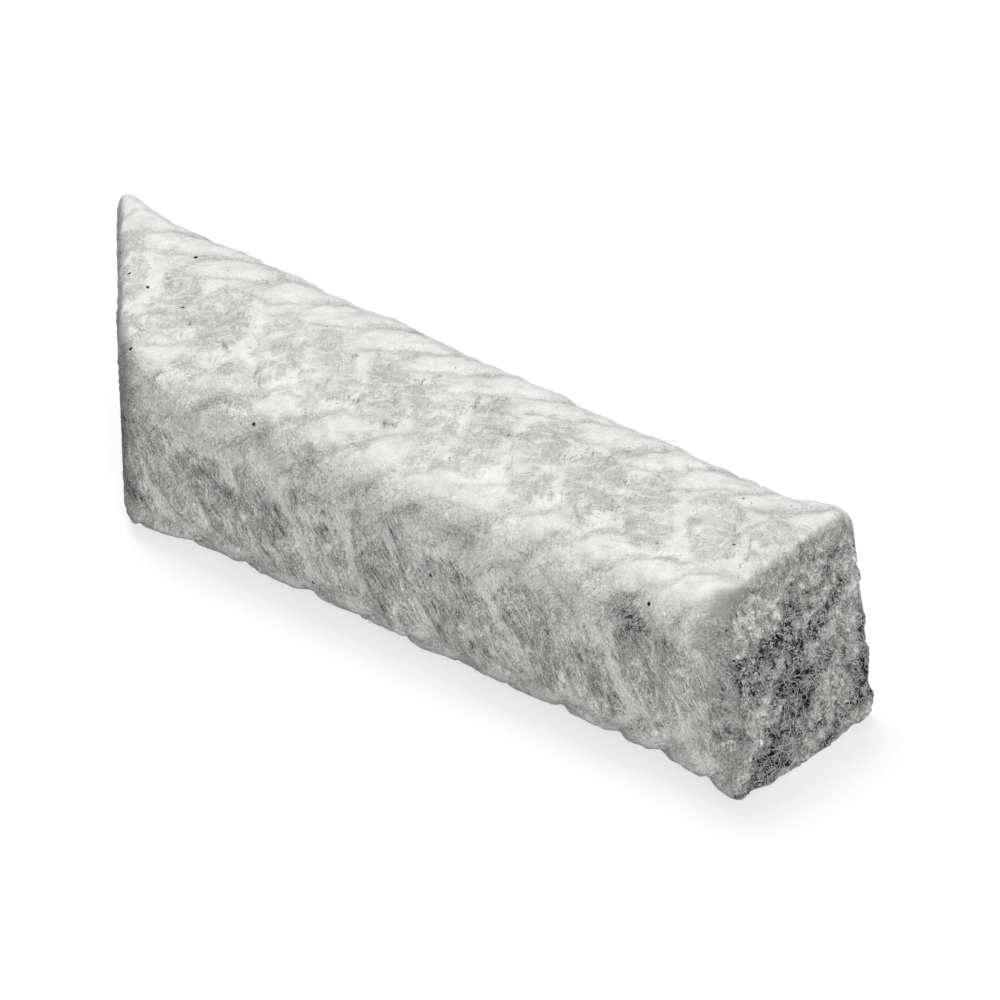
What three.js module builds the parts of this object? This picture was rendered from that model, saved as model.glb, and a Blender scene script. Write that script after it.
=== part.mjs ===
// A straight cut length of square braided gland packing, cut from the coil for one turn round a shaft.
// Sixteen soft fibre strands are plaited into one square rope and pressed between flat rollers, so that the
// stitches on the faces are level while those on the four corners stay round.
// Millimetres, +Z up. +X runs to the butt cut, -Y is the front face, and the origin is under the middle.
import * as THREE from "three";

// Body
const side = 12;
const cutLength = 47;
const bodyCornerRadius = 2.9;

// Cuts: the knife squeezes the rope into sharper corners, and the fibres round the edge bend over to a soft
// rim. The near cut is a butt cut by hand, which leans back and runs a little askew. The far cut is diagonal,
// as for a ring with overlapping ends.
const cutCornerRadius = 1.5;
const cutRim = 0.8;
const squeezedLength = 5;
const nearCutLean = THREE.MathUtils.degToRad(7.3);
const nearCutSkew = THREE.MathUtils.degToRad(4.3);
const farCutSkew = THREE.MathUtils.degToRad(44);
const slantFadeLength = 18;

// Braid: stitches follow each other along eight columns, one on each face and one on each corner
const stitchPitch = 3.66;
const faceStitch = { length: 7.4, width: 3, lean: THREE.MathUtils.degToRad(52), pressedAt: 0.45 };
const cornerStitch = { length: 9.6, width: 2.35, lean: THREE.MathUtils.degToRad(-37), pressedAt: 0.85 };
const faceRelief = 0.26;
const cornerRelief = 0.4;
const columnDrift = 1.2;
const driftFadeLength = 12;

// Hand of the plait: how far one stitch strays from the next
const strayAlong = 0.35;
const strayAcross = 0.25;
const straySize = 0.1;
const strayLean = THREE.MathUtils.degToRad(5);

// Facets
const stepAlong = 0.47;
const stepsPerColumn = 6;
const rimSteps = 3;

const sides = 4;
const columns = 2 * sides;
const roundSteps = columns * stepsPerColumn;
const lengthSteps = Math.round(cutLength / stepAlong);

// Factors that mix a stitch's column and row into a value that looks random but is the same each time
const mix = { column: 12.9898, row: 78.233, quality: 37.719, spread: 43758.5453 };

// The length of one column's share of the way round: half a flat and half a corner
function columnWidth(cornerRadius) {
  return side / 2 - cornerRadius + (Math.PI / 4) * cornerRadius;
}

// A repeatable value from -1 to 1 for one stitch, a different one for each quality
function stray(column, row, quality) {
  const wave = mix.spread * Math.sin(column * mix.column + row * mix.row + quality * mix.quality);
  return 2 * (wave - Math.floor(wave)) - 1;
}

// A point of the rounded square, with the way out of it. The turn runs from the middle of the top (0)
// over the front (0.25), the bottom (0.5) and the back (0.75).
function sectionPoint(turn, cornerRadius) {
  const share = columnWidth(cornerRadius);
  const halfFlat = side / 2 - cornerRadius;
  const face = Math.round(turn * sides);
  const travel = (turn * sides - face) * 2 * share;
  const intoCorner = Math.max(0, Math.abs(travel) - halfFlat);
  const bend = intoCorner / cornerRadius;
  const hand = Math.sign(travel);
  const lateral = intoCorner > 0 ? hand * (halfFlat + cornerRadius * Math.sin(bend)) : travel;
  const out = halfFlat + cornerRadius * Math.cos(bend);
  const facing = (face * Math.PI) / 2;
  const outward = new THREE.Vector2(-Math.sin(facing), Math.cos(facing));
  const sideways = new THREE.Vector2(-Math.cos(facing), -Math.sin(facing));
  const point = new THREE.Vector2().addScaledVector(outward, out).addScaledVector(sideways, lateral);
  const normal = new THREE.Vector2()
    .addScaledVector(outward, Math.cos(bend))
    .addScaledVector(sideways, hand * Math.sin(bend));
  return { point, normal };
}

// How high one stitch stands at a place measured from its middle: 0 at its edge, and 1 where the rollers
// have pressed its crown level
function stitchHeight(stitch, column, row, along, across) {
  const lean = stitch.lean + strayLean * stray(column, row, 1);
  const size = 1 + straySize * stray(column, row, 2);
  const down = along * Math.cos(lean) + across * Math.sin(lean);
  const over = across * Math.cos(lean) - along * Math.sin(lean);
  const rise = 1 - Math.abs((2 * down) / (stitch.length * size)) ** 3 - ((2 * over) / stitch.width) ** 2;
  return THREE.MathUtils.clamp(rise / stitch.pressedAt, 0, 1);
}

// The height of the braid at a place on the skin: the highest stitch there
function braidHeight(along, turn) {
  const share = columnWidth(bodyCornerRadius);
  const fromCut = cutLength / 2 - along;
  const drift = columnDrift * THREE.MathUtils.smoothstep(fromCut, 0, driftFadeLength);
  const around = turn * columns - drift / share;
  const nearest = Math.round(around);
  let height = 0;
  for (let column = nearest - 1; column <= nearest + 1; column++) {
    const home = ((column % columns) + columns) % columns;
    const stitch = home % 2 === 0 ? faceStitch : cornerStitch;
    const start = home % 2 === 0 ? 0 : stitchPitch / 2;
    const nearestRow = Math.round((along - start) / stitchPitch);
    const reach = Math.ceil(stitch.length / stitchPitch / 2) + 1;
    for (let row = nearestRow - reach; row <= nearestRow + reach; row++) {
      const middle = start + row * stitchPitch + strayAlong * stray(home, row, 3);
      const across = (around - column) * share - strayAcross * stray(home, row, 4);
      height = Math.max(height, stitchHeight(stitch, home, row, along - middle, across));
    }
  }
  return height;
}

// How far along a point of the section lies: the slant of each cut fades out away from it
function alongAt(progress, point) {
  const nearSlant = Math.tan(nearCutSkew) * point.x + Math.tan(nearCutLean) * point.y;
  const farSlant = Math.tan(farCutSkew) * point.x;
  const nearShare = Math.max(0, 1 - ((1 - progress) * cutLength) / slantFadeLength);
  const farShare = Math.max(0, 1 - (progress * cutLength) / slantFadeLength);
  return (progress - 0.5) * cutLength - nearShare * nearSlant - farShare * farSlant;
}

// The skin at a place along the length and round the section, drawn in where it is part of a rim
function skinPoint({ progress, inset }, turn) {
  const fromEnd = Math.min(progress, 1 - progress) * cutLength;
  const settled = THREE.MathUtils.smoothstep(fromEnd, 0, squeezedLength);
  const cornerRadius = THREE.MathUtils.lerp(cutCornerRadius, bodyCornerRadius, settled);
  const { point, normal } = sectionPoint(turn, cornerRadius);
  const cornerness = (1 - Math.cos(turn * columns * Math.PI)) / 2;
  const relief = THREE.MathUtils.lerp(faceRelief, cornerRelief, cornerness);
  const depth = relief * (1 - braidHeight(alongAt(progress, point), turn));
  point.addScaledVector(normal, -depth - inset);
  return new THREE.Vector3(alongAt(progress, point), point.x, point.y);
}

// The rings of the skin from the far cut to the near one: how far along each lies, and how far the round rim
// of a cut has drawn it in
function ringPlaces() {
  const rim = cutRim / cutLength;
  const places = [];
  for (let step = 0; step <= lengthSteps; step++) {
    places.push({ progress: THREE.MathUtils.lerp(rim, 1 - rim, step / lengthSteps), inset: 0 });
  }
  for (let step = 1; step <= rimSteps; step++) {
    const bend = ((step / rimSteps) * Math.PI) / 2;
    const left = rim * (1 - Math.sin(bend));
    const inset = cutRim * (1 - Math.cos(bend));
    places.push({ progress: 1 - left, inset });
    places.unshift({ progress: left, inset });
  }
  return places;
}

// One closed skin: rings of points along the length, and a flat cut at each end
function braidedBody() {
  const rings = [];
  for (const place of ringPlaces()) {
    const ring = [];
    for (let corner = 0; corner < roundSteps; corner++) {
      ring.push(skinPoint(place, corner / roundSteps));
    }
    rings.push(ring);
  }
  const triangles = [];
  const lastStart = (rings.length - 1) * roundSteps;
  for (let start = 0; start < lastStart; start += roundSteps) {
    for (let corner = 0; corner < roundSteps; corner++) {
      const here = start + corner;
      const beside = start + ((corner + 1) % roundSteps);
      triangles.push(here, beside, here + roundSteps);
      triangles.push(beside, beside + roundSteps, here + roundSteps);
    }
  }
  for (const [a, b, c] of cutFace(rings[0])) {
    triangles.push(a, c, b);
  }
  for (const [a, b, c] of cutFace(rings.at(-1))) {
    triangles.push(lastStart + a, lastStart + b, lastStart + c);
  }
  const geometry = new THREE.BufferGeometry();
  geometry.setFromPoints(rings.flat());
  geometry.setIndex(triangles);
  return geometry;
}

// The triangles of the flat inside a ring
function cutFace(ring) {
  const outline = ring.map((corner) => new THREE.Vector2(corner.y, corner.z));
  return THREE.ShapeUtils.triangulateShape(outline, []);
}

// The rope lies with its box centred over the origin and its bottom on the ground
function standOnOrigin(geometry) {
  geometry.computeBoundingBox();
  const middle = geometry.boundingBox.getCenter(new THREE.Vector3());
  geometry.translate(-middle.x, -middle.y, -geometry.boundingBox.min.z);
  geometry.computeVertexNormals();
  return geometry;
}

const paleFibre = new THREE.MeshStandardMaterial({ color: 0xd0d0ce, roughness: 0.95, metalness: 0 });
const packing = new THREE.Mesh(standOnOrigin(braidedBody()), paleFibre);
packing.name = "braided_packing";

const part = new THREE.Group();
part.add(packing);

export default part;
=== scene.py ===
import math

import bmesh
import bpy
import numpy as np
from mathutils import Euler, Matrix, Vector, noise


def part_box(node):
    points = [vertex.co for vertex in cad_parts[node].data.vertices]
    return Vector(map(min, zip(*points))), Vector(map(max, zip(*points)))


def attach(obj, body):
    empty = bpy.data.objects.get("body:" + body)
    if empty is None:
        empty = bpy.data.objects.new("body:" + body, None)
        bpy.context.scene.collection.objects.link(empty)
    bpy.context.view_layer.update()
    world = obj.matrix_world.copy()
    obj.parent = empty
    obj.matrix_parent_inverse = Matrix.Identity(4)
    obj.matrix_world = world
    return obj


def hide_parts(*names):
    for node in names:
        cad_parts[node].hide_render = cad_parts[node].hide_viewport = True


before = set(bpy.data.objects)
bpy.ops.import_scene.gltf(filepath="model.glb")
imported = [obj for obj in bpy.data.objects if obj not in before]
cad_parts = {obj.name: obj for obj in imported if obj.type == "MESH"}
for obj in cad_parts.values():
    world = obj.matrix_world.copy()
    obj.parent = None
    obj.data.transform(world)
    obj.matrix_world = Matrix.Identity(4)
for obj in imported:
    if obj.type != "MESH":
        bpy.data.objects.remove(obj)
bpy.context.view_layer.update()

bl_info = {
    "name": "Braided gland packing",
    "version": (1, 0, 0),
    "blender": (4, 5, 0),
    "location": "3D View > Sidebar > Packing",
    "description": "A cut length of felted, square braided gland packing on a pale studio floor",
    "category": "Object",
}

NODE = "braided_packing"
BODY = "root"
MM = 0.001

SIDES = 4
COLUMNS = 2 * SIDES
BRAID_SEED = 7

# As in the solid: how high a stitch stands where it is pressed level, and how much its length strays
FACE_PRESSED_AT = 0.45
CORNER_PRESSED_AT = 0.85
STRAY_SIZE = 0.1

# Factors that mix a stitch's column, row and quality into a value that looks random, as in the solid
COLUMN_FACTOR = 12.9898
ROW_FACTOR = 78.233
QUALITY_FACTOR = 37.719
SPREAD_FACTOR = 43758.5453

# The qualities in which one stitch strays from the next, the first four numbered as in the solid
BY_LEAN, BY_SIZE, BY_ALONG, BY_ACROSS, BY_TONE = 1, 2, 3, 4, 5

# Along a strand, a pattern is drawn out to streaks nearly three times as long as wide
STRAND_STRETCH = (0.36, 1, 1)

# Tones from afar, from 0 for black to 1 for white, and how much darker some places are
FACE_TONE = 0.945
CORNER_TONE = 0.85
# Tone of the painted shade on the rolled rim of a cut
RIM_SHADE_TONE = 0.58
CUT_TONE = 0.79
PRESSED_DROP = 0.115
SOILED_DROP = 0.18
# How much darker the pits of the near cut are painted: painted shade
PIT_PAINTED_SHADE = 0.5

# How coarse the felt is on the skin and at the cuts
SKIN_COARSENESS = 0.95
CUT_COARSENESS = 2.7

# The deep pits of the near cut: how far across and up they lie, and how wide they are, in halves of a side
PITS = ((-0.05, -0.31, 0.17), (-0.39, -0.72, 0.15), (-0.8, -0.98, 0.16))
PIT_DEPTH_MM = 0.6

# The torn surface of a cut fades out between these two depths
CUT_SURFACE = 0.15 * MM
CUT_DEPTH = 0.8 * MM

# A corner that is closer than this to a cutting plane lies on it
ON_PLANE = 1e-6

# Noise shows the straight lines of its grid on flat faces that lie square to it, so it is turned
TURNED = np.array(Euler((0.6, 0.9, 0.4)).to_matrix())


def linear(hex_colour):
    """A colour written as sRGB hex, as the linear red, green, blue and alpha that Blender works in."""
    parts = [int(hex_colour[i:i + 2], 16) / 255 for i in (1, 3, 5)]
    return [p / 12.92 if p <= 0.04045 else ((p + 0.055) / 1.055) ** 2.4 for p in parts] + [1.0]


def distance(label, about, default_mm):
    """A length that a user can change."""
    return bpy.props.FloatProperty(
        name=label, description=about, default=default_mm * MM,
        precision=5, subtype="DISTANCE", unit="LENGTH",
    )


def lean(label, about, default_deg):
    """An angle that a user can change."""
    return bpy.props.FloatProperty(
        name=label, description=about, default=math.radians(default_deg), subtype="ANGLE", unit="ROTATION"
    )


def colour(label, about, hex_colour):
    """A colour that a user can change."""
    return bpy.props.FloatVectorProperty(
        name=label, description=about, default=linear(hex_colour), size=4, min=0, max=1, subtype="COLOR"
    )


class PackingSizes(bpy.types.PropertyGroup):
    corner_radius: distance("Corner radius", "Radius of the long corners", 2.9)
    cut_corner_radius: distance("Cut corner radius", "Radius of the corners that the knife squeezed", 1.5)
    squeezed_length: distance("Squeezed length", "How far from a cut the corners are squeezed", 5)
    cut_rim: distance("Cut rim", "Softness of the edge round each cut", 1.1)
    near_lean: lean("Near cut lean", "How far the butt cut leans back", 7.3)
    near_skew: lean("Near cut skew", "How far the butt cut runs askew", 4.3)
    far_skew: lean("Far cut skew", "Angle of the diagonal cut", 44)
    slant_fade: distance("Slant fade", "Length over which a cut's slant fades out", 18)
    stitch_pitch: distance("Stitch pitch", "Distance from one stitch to the next", 3.66)
    face_stitch_length: distance("Face stitch length", "Length of a pressed stitch", 7.4)
    face_stitch_width: distance("Face stitch width", "Width of a pressed stitch", 3)
    face_stitch_lean: lean("Face stitch lean", "Angle of a face stitch from the length", 52)
    corner_stitch_length: distance("Corner stitch length", "Length of a round stitch", 9.6)
    corner_stitch_width: distance("Corner stitch width", "Width of a round stitch", 2.35)
    corner_stitch_lean: lean("Corner stitch lean", "Angle of a corner stitch from the length", -37)
    face_relief: distance("Face relief", "Depth of the creases on the faces", 0.22)
    corner_relief: distance("Corner relief", "Depth of the creases on the corners", 0.3)
    fluff_rise: distance("Fluff rise", "How far the fluff stands up in the creases of the faces", 0.15)
    column_drift: distance("Column drift", "How far the columns of stitches turn round the body", 1.2)
    drift_fade: distance("Drift fade", "Length over which the columns come back to the corners", 12)
    stray_along: distance("Stray along", "How far a stitch lies off its row", 0.35)
    stray_across: distance("Stray across", "How far a stitch lies off its column", 0.25)
    stray_lean: lean("Stray lean", "How far a stitch leans off the rest", 5)
    wander: distance("Wander", "How far the outline of a stitch wanders", 0.5)
    grain: distance("Grain", "Size of one facet of the surface", 0.18)
    fibre_radius: distance("Fibre radius", "Radius of one loose fibre", 0.012)


class PackingColours(bpy.types.PropertyGroup):
    fluff: colour("Fluff", "White of the loose fibre", "#f2f2f0")
    pressed: colour("Pressed", "Grey of fibre that the rollers pressed", "#c6c6c4")
    shade: colour("Shade", "Grey of the gaps between tufts", "#989896")
    # Crevice is the dark of the painted shade in the deep gaps
    crevice: colour("Crevice", "Dark of the deep gaps", "#5a5a5a")
    speck: colour("Speck", "Dirt and char specks", "#161616")
    floor: colour("Floor", "Studio floor", "#acacac")


def smoothstep(value, start, end):
    """0 before start, 1 after end, and an even rise between them."""
    t = np.clip((value - start) / (end - start), 0, 1)
    return t * t * (3 - 2 * t)


def mix(first, second, share):
    """The first value where the share is 0, the second where it is 1, and one between them elsewhere."""
    return first + (second - first) * share


def stray(column, row, quality):
    """A repeatable value from -1 to 1 for each stitch, the same as in the solid."""
    phase = column * COLUMN_FACTOR + row * ROW_FACTOR + quality * QUALITY_FACTOR
    wave = np.sin(phase) * SPREAD_FACTOR
    return 2 * (wave - np.floor(wave)) - 1


def lumps(points, size_mm, start=0.0):
    """Soft random values from about -1 to 1, in lumps of the given size; another start gives other lumps."""
    return np.array([noise.noise(p) for p in (points @ TURNED / (size_mm * MM) + start).tolist()])


def half_side():
    """Half the side of the square section, read from the solid."""
    low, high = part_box(NODE)
    return (high[2] - low[2]) / 2


def column_width(radius):
    """One column's share of the way round: half a flat and half a corner."""
    return half_side() - radius + math.pi / 4 * radius


def cut_slants(sizes, across, height):
    """How far each cut stands back at a place of the section, against the middle."""
    near = math.tan(sizes.near_skew) * across + math.tan(sizes.near_lean) * height
    far = math.tan(sizes.far_skew) * across
    return near, far


def cut_places(sizes):
    """Where the far cut and the near cut cross the middle line, read from the solid's own corners."""
    points = read_points(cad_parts[NODE].data)
    near_slant, far_slant = cut_slants(sizes, points[:, 1], points[:, 2] - half_side())
    return float((points[:, 0] + far_slant).min()), float((points[:, 0] + near_slant).max())


def cut_distances(sizes, points):
    """How far each point lies from the near cut and from the far cut, along the length."""
    far, near = cut_places(sizes)
    near_slant, far_slant = cut_slants(sizes, points[:, 1], points[:, 2] - half_side())
    return near - points[:, 0] - near_slant, points[:, 0] + far_slant - far


def reach(angle, radius):
    """How far the rounded square reaches from its middle in a direction."""
    half = half_side()
    major = np.maximum(np.abs(np.cos(angle)), np.abs(np.sin(angle)))
    minor = np.minimum(np.abs(np.cos(angle)), np.abs(np.sin(angle)))
    inner = half - radius
    flat = half / major
    both = inner * (major + minor)
    corner = both + np.sqrt(np.maximum(both ** 2 - 2 * inner ** 2 + radius ** 2, 0))
    return np.where(flat * minor <= inner, flat, corner)


def unroll(across, height, radius):
    """The turn round the section, from 0 at the middle of the top over the front, and the way out there."""
    face = np.round(np.arctan2(-across, height) / (math.pi / 2)) % SIDES
    facing = face * math.pi / 2
    out = -across * np.sin(facing) + height * np.cos(facing)
    lateral = -across * np.cos(facing) - height * np.sin(facing)
    inner = half_side() - radius
    past = np.abs(lateral) - inner
    bend = np.where(past > 0, np.arctan2(past, np.maximum(out - inner, 1e-9)), 0)
    hand = np.sign(lateral)
    travel = np.where(past > 0, hand * (inner + radius * bend), lateral)
    turn = (face * 2 + travel / column_width(radius)) / COLUMNS
    return turn % 1.0, *way_out(facing, hand, bend)


def roll(turn, radius):
    """The place on the rounded square at a turn, and the way out there: unroll turned round."""
    share = column_width(radius)
    face = np.round(turn * SIDES)
    travel = (turn * SIDES - face) * 2 * share
    inner = half_side() - radius
    bend = np.maximum(np.abs(travel) - inner, 0) / radius
    hand = np.sign(travel)
    lateral = np.where(bend > 0, hand * (inner + radius * np.sin(bend)), travel)
    out = inner + radius * np.cos(bend)
    facing = face * math.pi / 2
    across = -out * np.sin(facing) - lateral * np.cos(facing)
    height = out * np.cos(facing) - lateral * np.sin(facing)
    return across, height, *way_out(facing, hand, bend)


def way_out(facing, hand, bend):
    """The outward direction on a face, or part of the way round its corner."""
    out_across = -np.sin(facing) * np.cos(bend) - np.cos(facing) * hand * np.sin(bend)
    out_up = np.cos(facing) * np.cos(bend) - np.sin(facing) * hand * np.sin(bend)
    return out_across, out_up


def smooth_max(first, second, blend):
    """The higher of two heights, with the valley between them rounded."""
    close = np.maximum(blend - np.abs(first - second), 0) / blend
    return np.maximum(first, second) + close ** 2 * blend / 4


def stitch_rise(sizes, stitch, home, row, ahead, across):
    """How high a stitch stands at a place measured from its middle: 0 at its edge, 1 on its middle line."""
    length, width, stitch_lean, _ = stitch
    angle = stitch_lean + sizes.stray_lean * stray(home, row, BY_LEAN)
    size = 1 + STRAY_SIZE * stray(home, row, BY_SIZE)
    down = ahead * np.cos(angle) + across * np.sin(angle)
    over = across * np.cos(angle) - ahead * np.sin(angle)
    return 1 - np.abs(2 * down / (length * size)) ** 3 - (2 * over / width) ** 2


def braid(sizes, points, turn):
    """The highest face stitch and the highest corner stitch at each place of the skin, with a random value
    for the stitch that is on top."""
    far, near = cut_places(sizes)
    pitch = sizes.stitch_pitch
    share = column_width(sizes.corner_radius)
    along = points[:, 0] - (far + near) / 2
    along = along + sizes.wander * (lumps(points, 2.1) + 0.5 * lumps(points, 0.8, 20.0))
    drift = sizes.column_drift * smoothstep(near - points[:, 0], 0, sizes.drift_fade)
    drift = drift + sizes.wander * (lumps(points, 2.1, 40.0) + 0.5 * lumps(points, 0.8, 60.0))
    around = turn * COLUMNS - drift / share
    nearest = np.round(around)
    rises = [np.full(along.shape, -1.0), np.full(along.shape, -1.0)]
    own = np.zeros(along.shape)
    stitches = (
        (sizes.face_stitch_length, sizes.face_stitch_width, sizes.face_stitch_lean, 0.0),
        (sizes.corner_stitch_length, sizes.corner_stitch_width, sizes.corner_stitch_lean, pitch / 2),
    )
    for shift in (-1, 0, 1):
        column = nearest + shift
        home = column % COLUMNS
        for kind, stitch in enumerate(stitches):
            length, _, _, start = stitch
            own_kind = home % 2 == kind
            nearest_row = np.round((along - start) / pitch)
            span = math.ceil(length / pitch / 2) + 1
            for step in range(-span, span + 1):
                row = nearest_row + step
                ahead = along - (start + row * pitch + sizes.stray_along * stray(home, row, BY_ALONG))
                across = (around - column) * share - sizes.stray_across * stray(home, row, BY_ACROSS)
                rise = stitch_rise(sizes, stitch, home, row, ahead, across)
                on_top = own_kind & (rise > np.maximum(*rises))
                own = np.where(on_top, stray(home, row, BY_TONE), own)
                rises[kind] = np.where(own_kind, smooth_max(rises[kind], rise, 0.3), rises[kind])
    return *rises, own


def braid_depth(sizes, turn, face_rise, corner_rise):
    """How deep the skin lies under the pressed faces: creases between stitches, half filled with fluff."""
    height = smooth_max(
        smoothstep(face_rise, 0, FACE_PRESSED_AT),
        smoothstep(corner_rise, -0.2, CORNER_PRESSED_AT),
        0.5,
    )
    cornerness = (1 - np.cos(turn * COLUMNS * math.pi)) / 2
    relief = mix(sizes.face_relief, sizes.corner_relief, cornerness)
    crease = 1 - smoothstep(np.maximum(face_rise, corner_rise), 0.04, 0.3)
    return relief * (1 - height) - sizes.fluff_rise * crease * (1 - cornerness)


def rope_lumps(points):
    """How far the hand-laid rope stands off an even one, in lumps from 5 mm down to single tufts."""
    mean_depth = 0.06
    soft = 0.16 * lumps(points, 4.6, 5.0) + 0.1 * lumps(points, 2.0) + 0.05 * lumps(points, 0.9, 30.0)
    return (soft - mean_depth) * MM


def strand_space(sizes, points, turn, stitch_lean):
    """Coordinates in which a pattern runs in streaks along the strands of one lean: the first goes along
    the body, and the other two go round it, so that the pattern closes on itself."""
    ring = COLUMNS * column_width(sizes.corner_radius) / (2 * math.pi)
    bow = 0.5 * MM * lumps(points, 2.6, 80.0) / ring
    angle = turn * 2 * math.pi - points[:, 0] * math.tan(stitch_lean) / ring + bow
    width = ring * math.cos(stitch_lean)
    return np.column_stack([points[:, 0], width * np.cos(angle), width * np.sin(angle)]) * STRAND_STRETCH


def deselect_all():
    if bpy.context.object and bpy.context.object.mode != "OBJECT":
        bpy.ops.object.mode_set(mode="OBJECT")
    bpy.ops.object.select_all(action="DESELECT")


def select_where(piece, kind, wanted):
    """In edit mode, selects the edges or the faces for which wanted says yes."""
    bpy.ops.mesh.select_mode(type=kind)
    bpy.ops.mesh.select_all(action="DESELECT")
    shape = bmesh.from_edit_mesh(piece.data)
    for element in shape.edges if kind == "EDGE" else shape.faces:
        element.select_set(wanted(element))
    bmesh.update_edit_mesh(piece.data)


def apply_modifier(piece, kind, **settings):
    """Adds a modifier with its settings and makes its result the piece's own mesh."""
    modifier = piece.modifiers.new(kind.title(), kind)
    for name, value in settings.items():
        setattr(modifier, name, value)
    bpy.context.view_layer.objects.active = piece
    bpy.ops.object.modifier_apply(modifier=modifier.name)


def read_points(mesh):
    """The places of all vertices, one row each."""
    flat = np.empty(len(mesh.vertices) * 3)
    mesh.vertices.foreach_get("co", flat)
    return flat.reshape(-1, 3)


def set_attribute(mesh, name, values):
    """Stores one value or vector for each vertex, for the material to read."""
    vector = values.ndim == 2
    layer = mesh.attributes.new(name, "FLOAT_VECTOR" if vector else "FLOAT", "POINT")
    layer.data.foreach_set("vector" if vector else "value", values.ravel().astype(np.float32))


def add_node(tree, kind, inputs=None, **settings):
    """Adds a shader node with its settings. An input takes a value, or a link from a socket or from a node,
    whose first output in use is meant."""
    made = tree.nodes.new("ShaderNode" + kind)
    for name, value in settings.items():
        setattr(made, name, value)
    for key, value in (inputs or {}).items():
        if isinstance(value, bpy.types.Node):
            value = next(socket for socket in value.outputs if socket.enabled)
        if isinstance(value, bpy.types.NodeSocket):
            tree.links.new(value, made.inputs[key])
        else:
            made.inputs[key].default_value = value
    return made


def new_material(name):
    """A material without nodes yet, and its node tree."""
    material = bpy.data.materials.new(name)
    material.use_nodes = True
    material.node_tree.nodes.clear()
    return material, material.node_tree


def felt_patterns(tree, place, corner_share, cut_share):
    """Tufts, which lie along the strands on the skin and any way at the cuts, curls of fibre, and grain."""
    along_face = add_node(tree, "Attribute", attribute_name="face_strand").outputs["Vector"]
    along_corner = add_node(tree, "Attribute", attribute_name="corner_strand").outputs["Vector"]

    # Single fibres are 0.02 mm thick, too fine to show, so they are drawn as tufts of 0.1 to 0.4 mm
    skin_tuft = 0.2 * MM
    cut_tuft = 0.42 * MM
    curl_size = 0.34 * MM
    grain_size = 0.1 * MM
    face_tufts, corner_tufts, cut_tufts = (
        add_node(
            tree, "TexNoise",
            {"Vector": way, "Scale": 1 / size, "Detail": 3.0, "Roughness": 0.66, "Distortion": 0.6},
        )
        for way, size in ((along_face, skin_tuft), (along_corner, skin_tuft), (place, cut_tuft))
    )
    tufts = add_node(tree, "Mix", {0: corner_share, 2: face_tufts, 3: corner_tufts})
    tufts = add_node(tree, "Mix", {0: cut_share, 2: tufts, 3: cut_tufts})
    curls = add_node(
        tree, "TexNoise",
        {"Vector": place, "Scale": 1 / curl_size, "Detail": 3.0, "Roughness": 0.7, "Distortion": 1.1},
    )
    grain = add_node(tree, "TexNoise", {"Vector": place, "Scale": 1 / grain_size, "Detail": 1.0})
    return tufts, curls, grain


def add_hairs(tree, felt, curls, gaps, cut_share):
    """Hairs and fine cracks, which follow the contours of the curls: pale hairs lie beside dark lines of
    painted shadow between the fibres, which are wider where the felt is torn."""
    shadow_line_width = add_node(tree, "Math", {0: cut_share, 1: 0.018, 2: 0.012}, operation="MULTIPLY_ADD")
    pale_width = 0.012
    for contour, width, change in ((0.5, shadow_line_width, -1.4), (0.56, pale_width, 0.65)):
        line = add_node(tree, "Math", {0: curls, 1: contour}, operation="SUBTRACT")
        line = add_node(tree, "Math", {0: line}, operation="ABSOLUTE")
        line = add_node(
            tree, "MapRange",
            {"Value": line, "From Min": 0.0, "From Max": width, "To Min": change, "To Max": 0.0},
        )
        felt = add_node(tree, "Math", {0: line, 1: gaps, 2: felt}, operation="MULTIPLY_ADD")
    return felt


def add_dirt(tree, felt, place, curls):
    """Specks of dirt, a few large black ones and many dark grey ones as fine as pepper."""
    full_at = 0.1
    gone_at = 0.13
    for spacing_mm, darkness in ((2.1, 0.9), (0.9, 0.45)):
        dirt = add_node(tree, "TexVoronoi", {"Vector": place, "Scale": 1 / (spacing_mm * MM)})
        dirt = add_node(tree, "Math", {0: curls, 1: 0.14, 2: dirt}, operation="MULTIPLY_ADD")
        dirt = add_node(
            tree, "MapRange",
            {"Value": dirt, "From Min": full_at, "From Max": gone_at, "To Min": darkness, "To Max": 0.0},
            interpolation_type="SMOOTHSTEP",
        )
        felt = add_node(tree, "Math", {0: felt, 1: dirt}, operation="SUBTRACT")
    return felt


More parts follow.
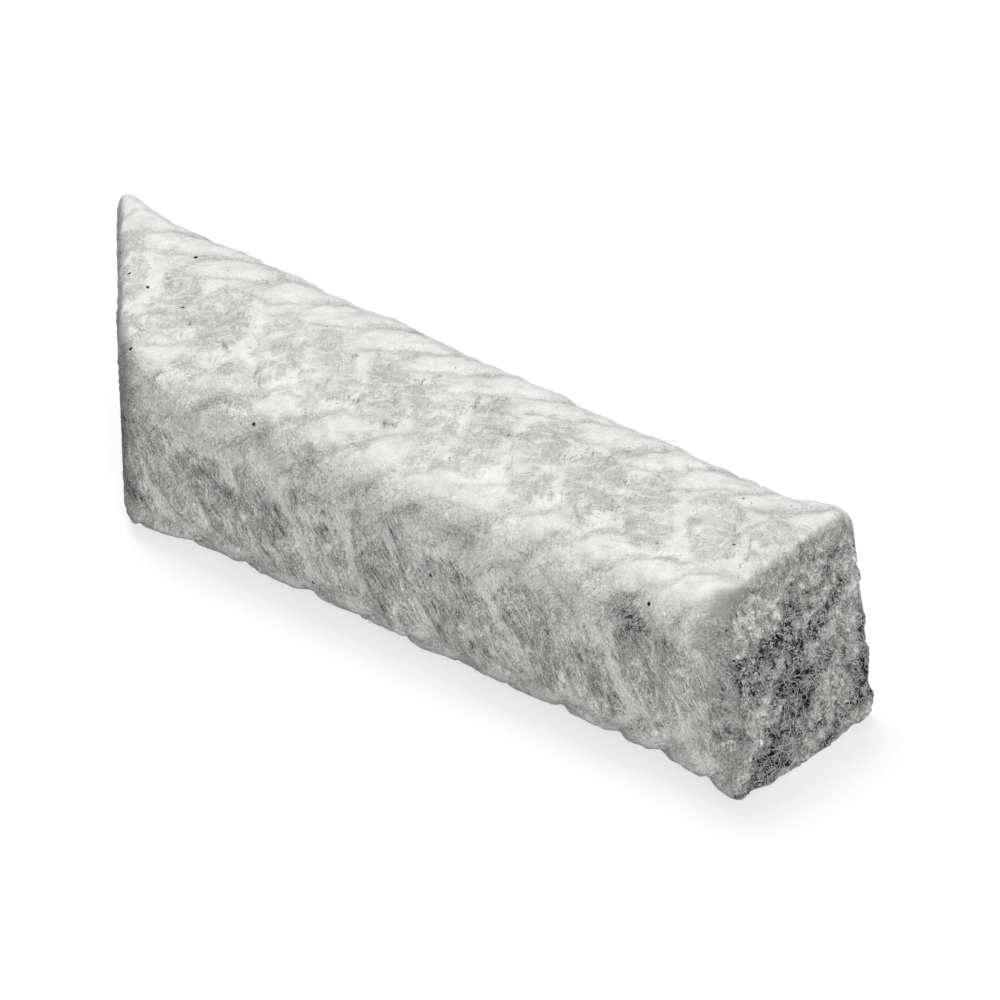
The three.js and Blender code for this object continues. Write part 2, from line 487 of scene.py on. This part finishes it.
def felted_fibre(colours):
    """Felted staple fibre, plaited and pressed between rollers: matt all over, white and fluffy where it is
    loose, grey where it is pressed, with painted shade in the gaps between the fibres and a few specks of
    dirt. The tone of each place from afar, and how coarse and gappy the felt is there, come with the mesh."""
    material, tree = new_material("Felted braided fibre")
    place = add_node(tree, "TexCoord").outputs["Object"]
    tone, coarse, gaps, corner_share, cut_share = (
        add_node(tree, "Attribute", attribute_name=name)
        for name in ("tone", "coarse", "gaps", "corner_share", "cut_share")
    )
    tufts, curls, grain = felt_patterns(tree, place, corner_share, cut_share)

    # The felt's own light and dark, about the tone of the place
    grain_share = add_node(tree, "Math", {0: cut_share, 1: -0.35, 2: 0.7}, operation="MULTIPLY_ADD")
    middle_grain = add_node(tree, "Math", {0: grain, 1: 0.5}, operation="SUBTRACT")
    felt = add_node(tree, "Math", {0: tufts, 1: 0.6, 2: -0.5}, operation="MULTIPLY_ADD")
    felt = add_node(tree, "Math", {0: curls, 1: 0.4, 2: felt}, operation="MULTIPLY_ADD")
    felt = add_node(tree, "Math", {0: middle_grain, 1: grain_share, 2: felt}, operation="MULTIPLY_ADD")
    felt = add_node(tree, "Math", {0: felt, 1: coarse, 2: tone}, operation="MULTIPLY_ADD")

    # Gaps between tufts get painted shade, most of it at the torn cuts
    hollow = add_node(tree, "Math", {0: curls, 1: 0.5, 2: tufts}, operation="MULTIPLY_ADD")
    hollow = add_node(tree, "Math", {0: grain, 1: 0.3, 2: hollow}, operation="MULTIPLY_ADD")
    hollow = add_node(
        tree, "MapRange",
        {"Value": hollow, "From Min": 0.9, "From Max": 0.97},
        interpolation_type="SMOOTHSTEP",
    )
    hollow = add_node(tree, "Math", {0: hollow, 1: gaps}, operation="MULTIPLY")
    felt = add_node(tree, "Math", {0: felt, 1: hollow}, operation="SUBTRACT")
    felt = add_hairs(tree, felt, curls, gaps, cut_share)
    felt = add_dirt(tree, felt, place, curls)

    shades = add_node(tree, "ValToRGB", {"Fac": felt})
    steps = (colours.speck, colours.crevice, colours.shade, colours.pressed, colours.fluff)
    for number in range(1, len(steps) - 1):
        shades.color_ramp.elements.new(number / (len(steps) - 1))
    for element, shade in zip(shades.color_ramp.elements, steps):
        element.color = tuple(shade)

    height = add_node(tree, "Math", {0: tufts, 1: curls}, operation="ADD")
    height = add_node(tree, "Math", {0: height, 1: coarse}, operation="MULTIPLY")
    relief = add_node(tree, "Math", {0: cut_share, 1: -0.55, 2: 1.0}, operation="MULTIPLY_ADD")
    height = add_node(tree, "Math", {0: height, 1: relief}, operation="MULTIPLY")
    bump = add_node(tree, "Bump", {"Height": height, "Distance": -0.2 * MM, "Strength": 0.8})
    surface = add_node(
        tree, "BsdfPrincipled",
        {"Base Color": shades, "Roughness": 0.95, "Normal": bump, "Specular IOR Level": 0.15},
    )
    add_node(tree, "OutputMaterial", {"Surface": surface})
    return material


def loose_fibre(colours):
    """Single staple fibres that stand off the felt: bleached, matt and nearly white."""
    material, tree = new_material("Loose staple fibre")
    place = add_node(tree, "TexCoord").outputs["Object"]
    shade = add_node(tree, "TexNoise", {"Vector": place, "Scale": 1 / (3 * MM), "Detail": 2.0})
    tint = add_node(
        tree, "Mix", {"Factor": shade, 6: tuple(colours.fluff), 7: tuple(colours.pressed)}, data_type="RGBA"
    )
    surface = add_node(
        tree, "BsdfPrincipled", {"Base Color": tint, "Roughness": 0.9, "Specular IOR Level": 0.2}
    )
    add_node(tree, "OutputMaterial", {"Surface": surface})
    return material


def dress(piece, material):
    """Gives a finished piece its material, and says what it rides on."""
    piece.data.materials.append(material)
    bpy.ops.object.shade_smooth()
    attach(piece, BODY)


def cut_off(piece, middle, normal, rim):
    """In edit mode, cuts off what lies beyond a plane, closes the cut and rounds its edge."""
    bpy.ops.mesh.select_all(action="SELECT")
    bpy.ops.mesh.bisect(plane_co=middle, plane_no=normal, use_fill=True, clear_outer=True)
    select_where(
        piece, "EDGE",
        lambda edge: all(abs((corner.co - middle).dot(normal)) < ON_PLANE for corner in edge.verts),
    )
    bpy.ops.mesh.bevel(offset=rim, segments=4, profile=0.5, affect="EDGES")


class Skin:
    """The squared rope's points before they are moved, and where they lie on the braid and at the cuts."""

    def __init__(self, sizes, points):
        self.points = points
        self.across, self.height = points[:, 1], points[:, 2] - half_side()
        self.to_near, self.to_far = cut_distances(sizes, points)
        self.to_cut = np.minimum(self.to_near, self.to_far)
        self.squeeze_corners(sizes)
        self.face_rise, self.corner_rise, self.own = braid(sizes, points, self.turn)
        self.corner_share = smoothstep(self.corner_rise - self.face_rise, -0.5, 0.5)
        self.face_strand = strand_space(sizes, points, self.turn, sizes.face_stitch_lean)
        self.corner_strand = strand_space(sizes, points, self.turn, sizes.corner_stitch_lean)

    def squeeze_corners(self, sizes):
        """How far each point goes outward where the knife squeezed the corners, and which way is out."""
        settled = smoothstep(self.to_cut, 0, sizes.squeezed_length)
        radius = mix(sizes.cut_corner_radius, sizes.corner_radius, settled)
        angle = np.arctan2(self.height, self.across)
        body_reach = reach(angle, sizes.corner_radius)
        squeezed_reach = reach(angle, radius)
        self.way_share = np.minimum(np.hypot(self.across, self.height) / body_reach, 1)
        self.grow = squeezed_reach / body_reach
        self.turn, self.out_across, self.out_up = unroll(
            squeezed_reach * np.cos(angle), squeezed_reach * np.sin(angle), radius
        )

    def pressed(self, sizes):
        """Where the points go as the stitches are pressed in, with the felt's soft bundles and tufts."""
        depth = braid_depth(sizes, self.turn, self.face_rise, self.corner_rise) * self.way_share ** 2
        bundles = mix(lumps(self.face_strand, 0.5), lumps(self.corner_strand, 0.5), self.corner_share)
        tufts = 0.05 * lumps(self.points, 0.7, 35.0) + 0.02 * lumps(self.points, 0.33, 45.0)
        felt = (0.03 * bundles + tufts) * MM
        depth = depth - (felt + rope_lumps(self.points)) * smoothstep(self.way_share, 0.94, 0.995)
        moved = self.points.copy()
        moved[:, 1] = self.across * self.grow - depth * self.out_across
        moved[:, 2] = half_side() + self.height * self.grow - depth * self.out_up
        moved[:, 0] -= self.cut_shift(sizes, moved - self.points)
        return moved

    def cut_shift(self, sizes, step):
        """How far each point goes along, so that what lay on a slanted cut stays on it."""
        near_slant, far_slant = cut_slants(sizes, step[:, 1], step[:, 2])
        near_share = np.clip(1 - self.to_near / sizes.slant_fade, 0, 1)
        far_share = np.clip(1 - self.to_far / sizes.slant_fade, 0, 1)
        return near_share * near_slant + far_share * far_slant

    def torn_share(self):
        """How torn a cut is at each point: not where the fibres bend over its rim, widest on the front."""
        half = half_side()
        inside = (1 - self.way_share) * half + 0.3 * MM * lumps(self.points, 1.3, 15.0)
        low = smoothstep(-self.height / half, 0.4, 0.8)
        front_rim = 1.2 * smoothstep(-self.across / half, 0.3, 0.9) * (1 - low)
        rim = (0.3 + 0.5 * smoothstep(self.height / half, 0.3, 0.9) + front_rim) * MM
        return smoothstep(inside, 0.2 * rim, 1.5 * rim)

    def pits(self):
        """How deep each point lies in a pit of the near cut, from 0 to 1."""
        half = half_side()
        across = self.points[:, 1] / half + 0.1 * lumps(self.points, 0.8, 160.0)
        up = self.points[:, 2] / half - 1 + 0.1 * lumps(self.points, 0.8, 165.0)
        pit = np.zeros(len(self.points))
        for pit_across, pit_up, width in PITS:
            from_pit = np.hypot(across - pit_across, up - pit_up)
            pit = np.maximum(pit, np.exp(-(from_pit / width) ** 2))
        return np.where(self.to_near < self.to_far, pit, 0)

    def face_tone(self, ragged, crease, shaded_flank):
        """White fluff, and pressed stitches of one grey each, which are patchy and have pale veins, with
        painted shade on the side faces.
        """
        points = self.points
        worn = 0.68 + 0.16 * self.own + 0.5 * lumps(points, 2.4, 70.0) + 0.7 * lumps(points, 0.8, 75.0)
        veins = 1 - smoothstep(np.abs(lumps(points, 1.1, 90.0)), 0.02, 0.13)
        pressed = smoothstep(ragged, -0.05, 0.25) * smoothstep(worn, -0.4, 0.9) * (1 - 0.85 * veins)
        # On the side faces the pressed stitches get painted shade, and the whole face a little more
        drop = PRESSED_DROP + 0.07 * shaded_flank
        return FACE_TONE - drop * pressed * (1 - crease) - 0.01 * shaded_flank

    def corner_tone(self):
        """Grey of painted shade between the round stitches, paler with painted light on them, with blotches,
        and darker with painted shade where it faces down.
        """
        points = self.points
        blotches = smoothstep(lumps(points, 1.7, 60.0) + 0.6 * lumps(points, 0.6, 62.0), 0, 0.6)
        # Painted light on the crowns of the round stitches, and painted shade in the creases between them
        painted_crown_light = smoothstep(self.corner_rise + 0.3 * lumps(points, 1.3, 65.0), 0.1, 0.8)
        # Painted shade where the corner faces down
        painted_underside_shade = smoothstep(-self.out_up, 0.2, 0.9)
        return CORNER_TONE + 0.09 * painted_crown_light - 0.06 * blotches - 0.1 * painted_underside_shade

    def look(self, sizes):
        """The skin's tone, how coarse its felt is, and how much painted shade its gaps get."""
        points = self.points
        half = half_side()
        # The side faces get painted shade: darker stitches, more dark gaps and more contrast
        shaded_flank = smoothstep(np.abs(self.out_across), 0.75, 1)
        ragged = self.face_rise + 0.4 * lumps(points, 0.9, 50.0) + 0.4 * lumps(points, 0.4, 55.0)
        crease = 1 - smoothstep(self.face_rise + 0.15 * lumps(points, 0.8, 95.0), 0.1, 0.26)
        soiled_middle = (cut_places(sizes)[1] - 5.9 * MM, -half, 1.43 * half)
        soiled = np.exp(-((points - soiled_middle) ** 2).sum(axis=1) / (1.3 * MM) ** 2)
        tone = mix(self.face_tone(ragged, crease, shaded_flank), self.corner_tone(), self.corner_share)
        tone = tone + 0.035 * lumps(points, 3.2, 110.0) + 0.04 * lumps(points, 0.5, 115.0)
        tone = tone - SOILED_DROP * soiled
        coarse = SKIN_COARSENESS - 0.6 * smoothstep(tone, 0.78, 0.93) + 0.6 * shaded_flank

        # Gaps, which get painted shade, come in patches, along the borders of the face stitches and at the
        # soiled place, where they add to the dirt
        patches = lumps(points, 1.6, 120.0) + 0.6 * lumps(points, 0.6, 125.0)
        border = (1 - smoothstep(np.abs(ragged - 0.05), 0, 0.25)) * smoothstep(patches, -0.4, 0.4)
        gaps = np.clip(0.2 + 1.5 * patches, 0, 1) * (0.2 + 0.3 * shaded_flank) * (1 - 0.6 * crease)
        gaps = gaps + 0.4 * border * (1 - self.corner_share) + 0.8 * soiled

        # The rim of a cut is painted grey, as painted shade where it is rolled over, which reaches farthest
        # on the front
        front = smoothstep(-self.across / half, 0.6, 0.95)
        rolled = 1 - smoothstep(self.to_cut, 0, (0.45 + 1.5 * front) * MM)
        tone = mix(tone, RIM_SHADE_TONE + 0.1 * lumps(points, 1.3, 150.0), rolled)
        return tone, coarse, gaps

    def cut_look(self, pit, hollows):
        """A cut's tone, with painted shade in its pits, and how much painted shade its gaps get: clusters of
        them, which run aslant over it.
        """
        points, across, height = self.points, self.across, self.height
        lay = math.radians(40)
        chains = np.column_stack([
            0.5 * (across * math.cos(lay) + height * math.sin(lay)),
            height * math.cos(lay) - across * math.sin(lay),
            points[:, 0],
        ])
        clusters = lumps(chains, 1.2, 130.0) + 0.6 * lumps(points, 0.6, 135.0)
        # The pits are painted darker, as painted shade on top of the real shade of the dug pits, and the
        # gaps in pits and small hollows get more painted shade
        tone = CUT_TONE + 0.1 * lumps(points, 1.5, 140.0) + 0.2 * lumps(points, 0.6, 145.0) - PIT_PAINTED_SHADE * pit
        gaps = np.clip(0.45 + 1.3 * clusters + 1.4 * pit + hollows, 0.1, 1.6)
        gaps = gaps * (1 - 0.6 * smoothstep(height / half_side(), 0.5, 0.85))
        return tone, gaps * np.where(self.to_near < self.to_far, 1, 0.3)


class PACKING_OT_braid(bpy.types.Operator):
    """Makes the braided packing: a squared rope, cut at both ends, with stitches pressed into its skin"""

    bl_idname = "packing.braid"
    bl_label = "Braided packing"

    def execute(self, context):
        sizes = context.scene.packing_sizes
        rope = self.squared_rope(sizes)
        self.press_stitches(rope.data, sizes)
        dress(rope, felted_fibre(context.scene.packing_colours))
        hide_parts(NODE)
        return {"FINISHED"}

    def squared_rope(self, sizes):
        """A bar with round corners, cut through at both ends, and covered evenly with small facets."""
        far, near = cut_places(sizes)
        half = half_side()
        spare = 2 * half
        deselect_all()
        bpy.ops.mesh.primitive_cube_add(
            size=1, location=((far + near) / 2, 0, half), scale=(near - far + 2 * spare, 2 * half, 2 * half)
        )
        rope = bpy.context.object
        rope.name = rope.data.name = "packing_braid"
        bpy.ops.object.transform_apply(location=True, rotation=True, scale=True)
        bpy.ops.object.mode_set(mode="EDIT")
        select_where(rope, "EDGE", lambda edge: abs((edge.verts[0].co - edge.verts[1].co).x) > spare)
        bpy.ops.mesh.bevel(offset=sizes.corner_radius, segments=10, profile=0.5, affect="EDGES")
        near_middle = Vector((near, 0, half))
        near_normal = Vector((1, math.tan(sizes.near_skew), math.tan(sizes.near_lean))).normalized()
        far_middle = Vector((far, 0, half))
        far_normal = Vector((-1, -math.tan(sizes.far_skew), 0)).normalized()
        cut_off(rope, near_middle, near_normal, sizes.cut_rim)
        cut_off(rope, far_middle, far_normal, sizes.cut_rim)
        bpy.ops.object.mode_set(mode="OBJECT")
        apply_modifier(rope, "REMESH", mode="VOXEL", voxel_size=sizes.grain, use_smooth_shade=True)

        # The torn cut has finer relief than the skin, so its facets are halved
        fine_depth = 0.4 * MM
        bpy.ops.object.mode_set(mode="EDIT")
        select_where(
            rope, "FACE",
            lambda face: (face.calc_center_median() - near_middle).dot(near_normal) > -fine_depth,
        )
        bpy.ops.mesh.subdivide(number_cuts=1)
        bpy.ops.object.mode_set(mode="OBJECT")
        return rope

    def press_stitches(self, mesh, sizes):
        """Presses the stitches in, tears the cuts, and stores the looks of each place for the material."""
        skin = Skin(sizes, read_points(mesh))
        moved = skin.pressed(sizes)
        torn = skin.torn_share()
        pit = skin.pits()
        hollows = self.tear_cuts(sizes, skin, moved, torn, pit)
        moved[:, 2] = np.maximum(moved[:, 2], 0)
        mesh.vertices.foreach_set("co", moved.ravel())
        mesh.update()

        tone, coarse, gaps = skin.look(sizes)
        cut_tone, cut_gaps = skin.cut_look(pit, hollows)
        cut_share = torn * (1 - smoothstep(skin.to_cut, CUT_SURFACE, CUT_DEPTH + PIT_DEPTH_MM * MM * pit))
        looks = {
            "tone": mix(tone, cut_tone, cut_share),
            "coarse": mix(coarse, CUT_COARSENESS, cut_share),
            "gaps": mix(gaps, cut_gaps, cut_share),
            "corner_share": skin.corner_share,
            "cut_share": cut_share,
            "face_strand": skin.face_strand,
            "corner_strand": skin.corner_strand,
        }
        for name, values in looks.items():
            set_attribute(mesh, name, values)

    def tear_cuts(self, sizes, skin, moved, torn, pit):
        """Roughens both cuts where they are torn, digs the pits, and says where small hollows are."""
        points = skin.points
        settling = 0.08
        tufts = 0.2 * lumps(points, 0.8, 3.0) + 0.22 * lumps(points, 0.36, 7.0)
        rough = 0.16 * lumps(points, 1.9) + torn * (tufts + 0.16 * lumps(points, 0.19, 9.0))
        hollows = torn * np.clip(lumps(points, 0.6, 11.0) - 0.12, 0, 1) * (0.25 + 1.6 * pit)
        near_share = 1 - smoothstep(skin.to_near, CUT_SURFACE, CUT_DEPTH)
        far_share = 1 - smoothstep(skin.to_far, CUT_SURFACE, CUT_DEPTH)
        moved[:, 0] += near_share * (rough - settling - 0.8 * hollows - PIT_DEPTH_MM * pit) * MM
        far_step = far_share * (0.35 * rough - settling) * MM
        moved[:, 0] -= far_step * math.cos(sizes.far_skew)
        moved[:, 1] -= far_step * math.sin(sizes.far_skew)
        return hollows


def lay_fibres(name, paths, radius):
    """One mesh of thin closed tubes, one along each path."""
    curve = bpy.data.curves.new(name, "CURVE")
    curve.dimensions = "3D"
    curve.bevel_depth = radius
    curve.bevel_resolution = 0
    curve.use_fill_caps = True
    for path in paths:
        spline = curve.splines.new("POLY")
        spline.points.add(len(path) - 1)
        spline.points.foreach_set("co", np.column_stack([path, np.ones(len(path))]).ravel())
    piece = bpy.data.objects.new(name, curve)
    bpy.context.collection.objects.link(piece)
    deselect_all()
    piece.select_set(True)
    bpy.context.view_layer.objects.active = piece
    bpy.ops.object.convert(target="MESH")
    return bpy.context.object


def walk(way, length):
    """How far ahead and aside each point of the fibres comes, when every step goes its own way."""
    return tuple(np.cumsum(part, axis=1) * length / way.shape[1] for part in (np.cos(way), np.sin(way)))


class PACKING_OT_loose_fibres(bpy.types.Operator):
    """Lays single loose fibres over the skin, mostly along the strands that they came from"""

    bl_idname = "packing.loose_fibres"
    bl_label = "Loose fibres"
    fibres: bpy.props.IntProperty(name="Fibres", description="How many lie on the skin", default=1500)
    points: bpy.props.IntProperty(name="Points", description="How many points one fibre has", default=7)

    def execute(self, context):
        sizes = context.scene.packing_sizes
        along, turn, lift = self.scatter(sizes)
        across, height, out_across, out_up = roll(turn, sizes.corner_radius)
        skin = np.column_stack([along, across, half_side() + height])
        face_rise, corner_rise, _ = braid(sizes, skin, turn)
        depth = braid_depth(sizes, turn, face_rise, corner_rise) - rope_lumps(skin) - lift
        laid = skin - depth[:, None] * np.column_stack([np.zeros(len(depth)), out_across, out_up])
        paths = laid.reshape(self.fibres, self.points, 3)
        to_cut = np.minimum(*cut_distances(sizes, skin)).reshape(self.fibres, self.points).min(axis=1)
        over_floor = paths[:, :, 2].min(axis=1)
        keep = (to_cut > 0.6 * sizes.squeezed_length) & (over_floor > 0.03 * MM)
        dress(
            lay_fibres("packing_fuzz", paths[keep], sizes.fibre_radius),
            loose_fibre(context.scene.packing_colours),
        )
        return {"FINISHED"}

    def scatter(self, sizes):
        """Where the fibres' points lie along and round the body, and how far they are lifted off it."""
        far, near = cut_places(sizes)
        draw = np.random.default_rng(BRAID_SEED)
        each = (self.fibres, 1)
        progress = np.linspace(-0.5, 0.5, self.points)[None, :]
        along = draw.uniform(far - half_side(), near, each)
        turn = draw.uniform(0, 1, each)
        length = draw.uniform(0.6, 2.6, each) * MM
        on_corner = np.round(turn * COLUMNS) % 2
        way = np.where(on_corner > 0, sizes.corner_stitch_lean, sizes.face_stitch_lean)
        way = way + draw.normal(0, 0.4, each) + draw.normal(0, 0.9, each) * progress
        girth = COLUMNS * column_width(sizes.corner_radius)
        ahead, aside = walk(way, length)
        arch = draw.uniform(0, 0.04, each) * (1 - (2 * progress) ** 2)

        # One fibre in eight or so stands off at one end
        stray_share = 0.12
        stray_end = np.where(draw.uniform(0, 1, each) < stray_share, draw.uniform(0, 0.4, each), 0)
        lift = (arch + stray_end * (progress + 0.5) ** 2 + 0.005) * MM
        return (along + ahead).ravel(), ((turn + aside / girth) % 1.0).ravel(), lift.ravel()


class PACKING_OT_cut_fibres(bpy.types.Operator):
    """Curls single torn fibres over the butt cut, half of them round its deepest pits"""

    bl_idname = "packing.cut_fibres"
    bl_label = "Cut fibres"
    fibres: bpy.props.IntProperty(name="Fibres", description="How many curl over the cut", default=330)
    points: bpy.props.IntProperty(name="Points", description="How many points one fibre has", default=8)

    def execute(self, context):
        sizes = context.scene.packing_sizes
        half = half_side()
        near = cut_places(sizes)[1]
        draw = np.random.default_rng(BRAID_SEED + 1)
        each = (self.fibres, 1)
        pair = (self.fibres, 2)
        progress = np.linspace(-0.5, 0.5, self.points)[None, :]
        anywhere = draw.uniform(-0.86, 0.86, pair) * half
        round_pits = draw.normal((-0.1, -0.45), 0.3, pair) * half
        middle = np.where(draw.uniform(0, 1, each) < 0.5, anywhere, round_pits)
        length = draw.uniform(0.4, 1.6, each) * MM
        way = draw.uniform(0, 2 * math.pi, each) + draw.normal(0, 2.4, each) * progress
        aside, upward = walk(way, length)
        across = middle[:, :1] + aside
        height = middle[:, 1:] + upward
        rise = draw.uniform(-0.3, 0.05, each) * MM + 0.12 * MM * np.cos(progress * 2 * math.pi)
        slant, _ = cut_slants(sizes, across, height)
        paths = np.stack([near - slant + rise, across, half + height], axis=-1)
        inside = np.maximum(np.abs(across).max(axis=1), np.abs(height).max(axis=1)) < 0.9 * half
        dress(
            lay_fibres("packing_cut_curls", paths[inside], sizes.fibre_radius),
            loose_fibre(context.scene.packing_colours),
        )
        return {"FINISHED"}


class PACKING_OT_stage(bpy.types.Operator):
    """Sets the pale floor, the soft light from above, and the camera"""

    bl_idname = "packing.stage"
    bl_label = "Studio stage"

    def execute(self, context):
        self.floor(context)
        self.lights(context)
        self.camera(context)
        context.scene.view_settings.view_transform = "Standard"
        return {"FINISHED"}

    def floor(self, context):
        """Matt card that the camera sees lifted to white where nothing shades it."""
        lifted = 0.64
        deselect_all()
        bpy.ops.mesh.primitive_plane_add(size=3, location=(0, 0, 0))
        floor = bpy.context.object
        floor.name = "studio_floor"
        material, tree = new_material("Studio floor")
        seen = add_node(tree, "LightPath").outputs["Is Camera Ray"]
        paint = add_node(tree, "BsdfDiffuse", {"Color": tuple(context.scene.packing_colours.floor)})
        lift = add_node(tree, "Math", {0: seen, 1: lifted}, operation="MULTIPLY")
        glow = add_node(tree, "Emission", {"Color": (1, 1, 1, 1), "Strength": lift})
        both = add_node(tree, "AddShader", {0: paint, 1: glow})
        add_node(tree, "OutputMaterial", {"Surface": both})
        floor.data.materials.append(material)

    def lights(self, context):
        """A white sky, which lights the packing with a third of its strength, and two softboxes."""
        world = bpy.data.worlds.new("Studio")
        context.scene.world = world
        world.use_nodes = True
        tree = world.node_tree
        tree.nodes.clear()
        seen = add_node(tree, "LightPath").outputs["Is Camera Ray"]
        strength = add_node(tree, "MapRange", {"Value": seen, "To Min": 0.32, "To Max": 1.0})
        sky = add_node(tree, "Background", {"Color": (1, 1, 1, 1), "Strength": strength})
        add_node(tree, "OutputWorld", {"Surface": sky})
        self.softbox("key", place=(-0.16, 0.06, 0.5), size=0.22, power=1.55)
        self.softbox("fill", place=(0.5, -0.42, 0.26), size=0.3, power=2.9)

    def softbox(self, name, place, size, power):
        """A square area light that faces the packing."""
        lamp = bpy.data.lights.new(name, "AREA")
        lamp.size = size
        lamp.energy = power
        box = bpy.data.objects.new(name, lamp)
        box.location = place
        box.rotation_euler = (-Vector(place)).to_track_quat("-Z", "Y").to_euler()
        bpy.context.collection.objects.link(box)

    def camera(self, context):
        """The photograph's view: a long lens, looking down on the near end."""
        side = 2 * half_side()
        azimuth, elevation, tilt = math.radians(43.89), math.radians(30.59), math.radians(-1.81)
        away, side_share = 82.35 * side, 0.24095
        aim_right, aim_up = -1.241 * side, 0.666 * side
        back = Vector((
            math.sin(azimuth) * math.cos(elevation),
            -math.cos(azimuth) * math.cos(elevation),
            math.sin(elevation),
        ))
        level = Vector((math.cos(azimuth), math.sin(azimuth), 0))
        above = back.cross(level)
        right = math.cos(tilt) * level + math.sin(tilt) * above
        up = -math.sin(tilt) * level + math.cos(tilt) * above
        near_middle = Vector((cut_places(context.scene.packing_sizes)[1], 0, half_side()))
        data = bpy.data.cameras.new("photo_view")
        data.lens = side_share * data.sensor_width * away / side
        data.clip_end = 10
        camera = bpy.data.objects.new("photo_view", data)
        turned = Matrix((right, up, back)).transposed().to_4x4()
        turned.translation = near_middle + back * away + right * aim_right + up * aim_up
        camera.matrix_world = turned
        context.collection.objects.link(camera)
        context.scene.camera = camera


class PACKING_PT_panel(bpy.types.Panel):
    bl_label = "Braided packing"
    bl_idname = "PACKING_PT_panel"
    bl_space_type = "VIEW_3D"
    bl_region_type = "UI"
    bl_category = "Packing"

    def draw(self, context):
        for operator in OPERATORS:
            self.layout.operator(operator.bl_idname)
        for group in (context.scene.packing_sizes, context.scene.packing_colours):
            box = self.layout.box()
            for name in group.bl_rna.properties.keys():
                if name not in ("rna_type", "name"):
                    box.prop(group, name)


OPERATORS = (PACKING_OT_braid, PACKING_OT_loose_fibres, PACKING_OT_cut_fibres, PACKING_OT_stage)
CLASSES = (PackingSizes, PackingColours, *OPERATORS, PACKING_PT_panel)


def register():
    for cls in CLASSES:
        bpy.utils.register_class(cls)
    bpy.types.Scene.packing_sizes = bpy.props.PointerProperty(type=PackingSizes)
    bpy.types.Scene.packing_colours = bpy.props.PointerProperty(type=PackingColours)


def unregister():
    del bpy.types.Scene.packing_sizes
    del bpy.types.Scene.packing_colours
    for cls in reversed(CLASSES):
        bpy.utils.unregister_class(cls)


def main():
    register()
    bpy.ops.packing.braid()
    bpy.ops.packing.loose_fibres()
    bpy.ops.packing.cut_fibres()
    bpy.ops.packing.stage()


if __name__ == "__main__":
    main()
